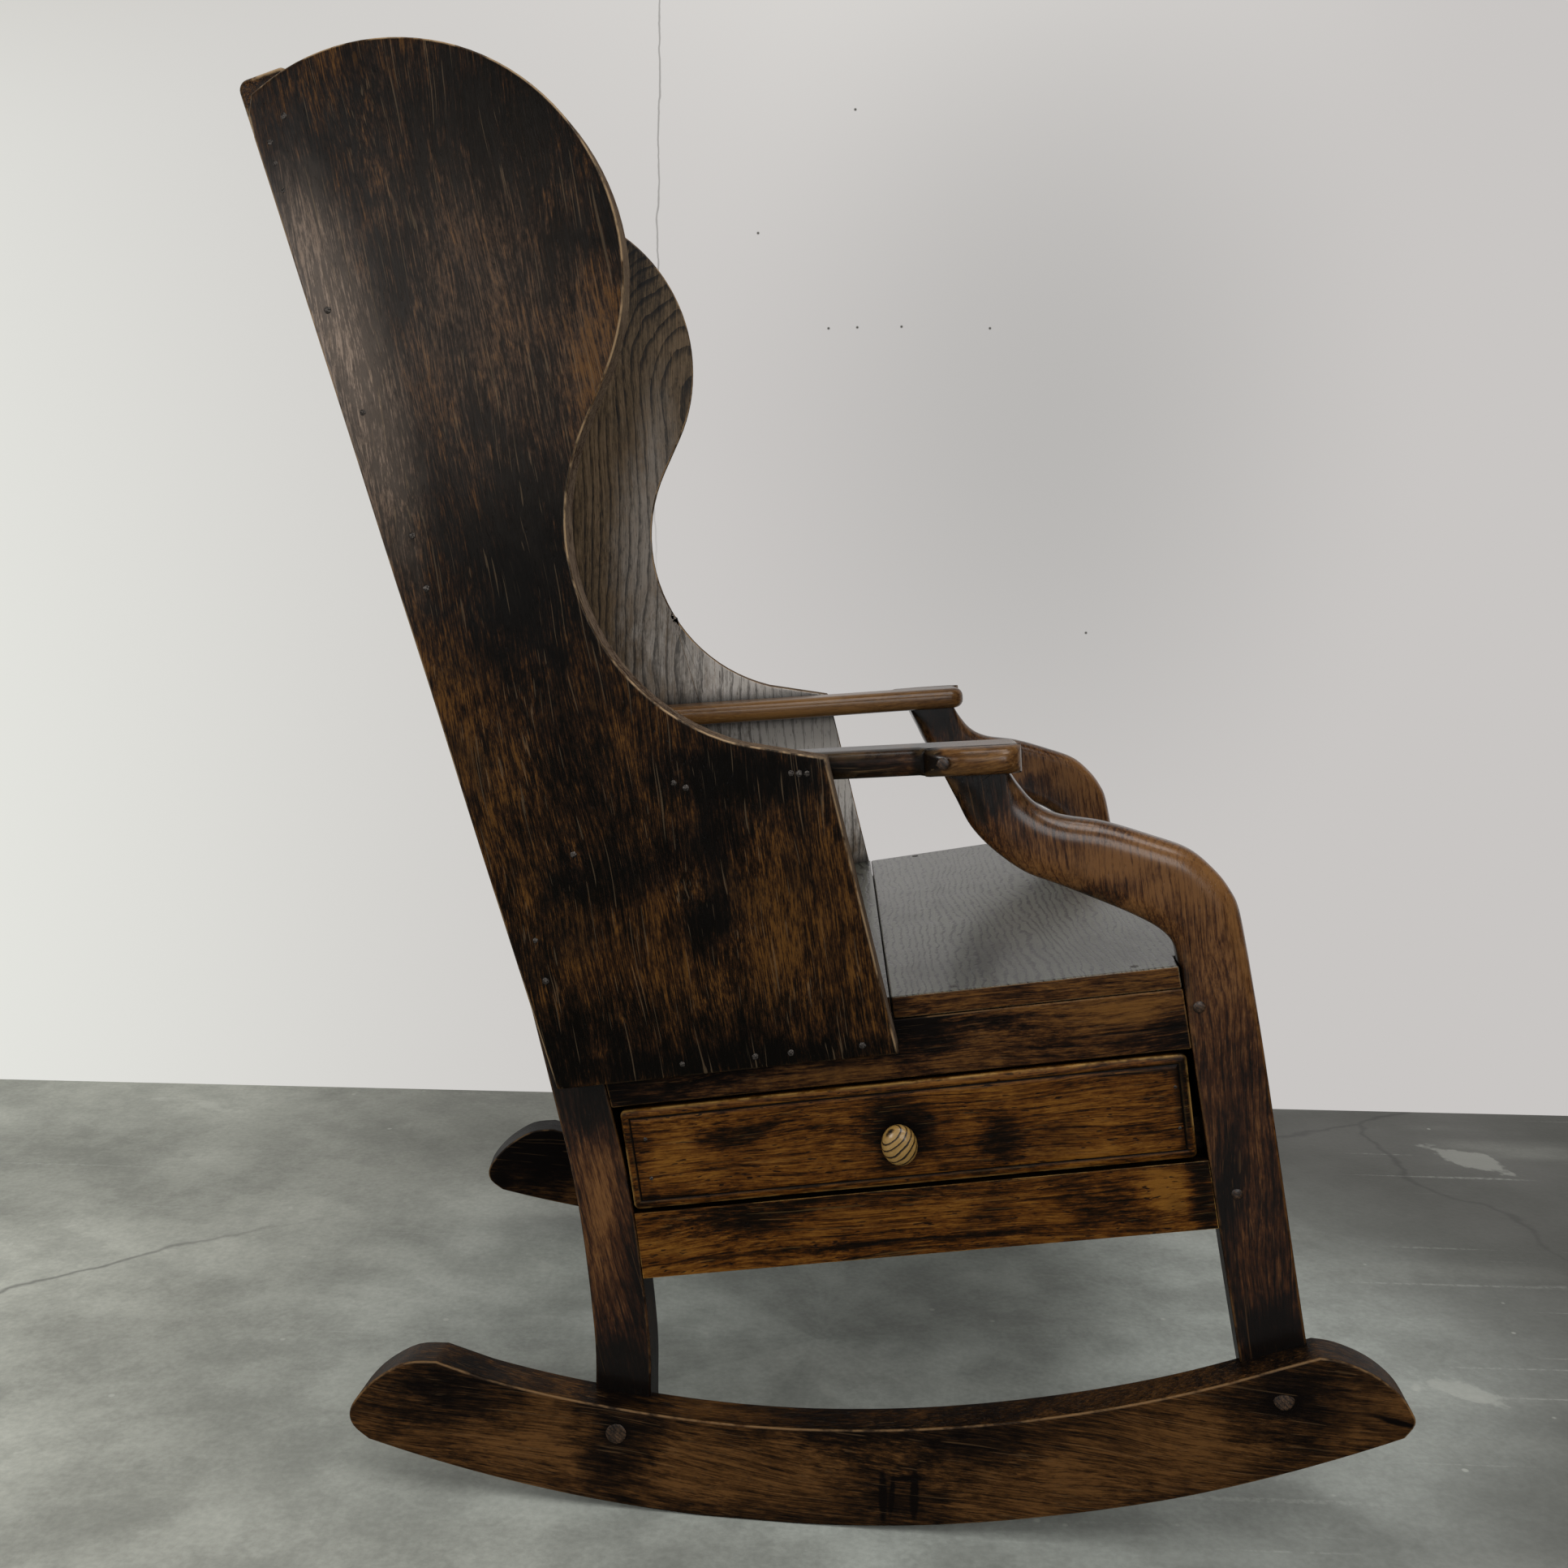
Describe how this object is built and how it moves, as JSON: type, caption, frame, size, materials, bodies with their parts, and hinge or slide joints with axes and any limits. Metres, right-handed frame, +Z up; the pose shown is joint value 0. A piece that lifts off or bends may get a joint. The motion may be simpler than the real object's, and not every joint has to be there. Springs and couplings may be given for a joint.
{
  "type": "lambing chair",
  "caption": "High-backed winged rocking chair of boards and pegged posts, with open curved arms and a drawer under the seat that pulls out at the sitter's right.",
  "frame": {"origin": "middle of the chair's box at the floor, with the rockers resting as in the picture", "axes": "+X the way the sitter faces, +Y to the sitter's left, +Z up; the drawer opens to -Y"},
  "size_m": [0.9233, 0.6914, 1.143],
  "materials": {
    "rocker_wood": "worn waxed wood, blotched mid brown, paler where it is rubbed",
    "post_wood": "waxed reddish brown wood with a soft gloss on the rounded edges",
    "wing_wood": "waxed dark brown wide boards, near black in patches, rubbed streaks along the grain",
    "arm_wood": "glossy tan brown wood polished by hands",
    "drawer_wood": "golden brown waxed wood with dark pits, grain running level",
    "seat_wood": "dark grey brown glossy boards with wavy grain",
    "back_wood": "dark brown waxed boards, grain upright",
    "rail_wood": "dark brown waxed wood",
    "inner_wood": "dry unpolished brown wood",
    "peg_wood": "dark end grain",
    "knob_wood": "pale tan turned wood with darker rings",
    "iron": "hand-made nail heads, dark and dull"
  },
  "bodies": {
    "chair": {"rocker_right": "rocker_wood", "rocker_left": "rocker_wood", "rear_post_right": "post_wood", "rear_post_left": "post_wood", "front_post_right": "post_wood", "front_post_left": "post_wood", "wing_board_right": "wing_wood", "wing_board_left": "wing_wood", "wing_front_board_right": "wing_wood", "wing_front_board_left": "wing_wood", "arm_right": "arm_wood", "arm_left": "arm_wood", "arm_ear_right": "arm_wood", "arm_ear_left": "arm_wood", "upper_rail_right": "rail_wood", "upper_rail_left": "rail_wood", "lower_rail_right": "drawer_wood", "lower_rail_left": "drawer_wood", "side_infill_left": "inner_wood", "front_upper_rail": "rail_wood", "front_lower_rail": "rail_wood", "front_infill": "inner_wood", "rear_upper_rail": "rail_wood", "rear_lower_rail": "rail_wood", "rear_infill": "inner_wood", "crest_rail": "back_wood", "back_mid_rail": "back_wood", "back_low_rail": "back_wood", "back_board_1": "back_wood", "back_board_2": "back_wood", "back_board_3": "back_wood", "back_board_4": "back_wood", "seat_bearer": "inner_wood", "seat_front_board": "seat_wood", "seat_rear_board": "seat_wood", "drawer_runner_front": "inner_wood", "drawer_runner_rear": "inner_wood", "rocker_pegs": "peg_wood", "rail_pegs": "peg_wood", "arm_pegs": "peg_wood", "wing_nails": "iron", "back_nails": "iron", "seat_nails": "iron"},
    "drawer": {"drawer_front": "drawer_wood", "drawer_side_front": "inner_wood", "drawer_side_rear": "inner_wood", "drawer_back": "inner_wood", "drawer_bottom": "inner_wood", "drawer_knob": "knob_wood", "drawer_nails": "iron"}
  },
  "joints": [
    {"name": "drawer_slide", "type": "slide", "parent": "chair", "child": "drawer", "axis": [0, -1, 0], "range_m": [0, 0.34]}
  ]
}
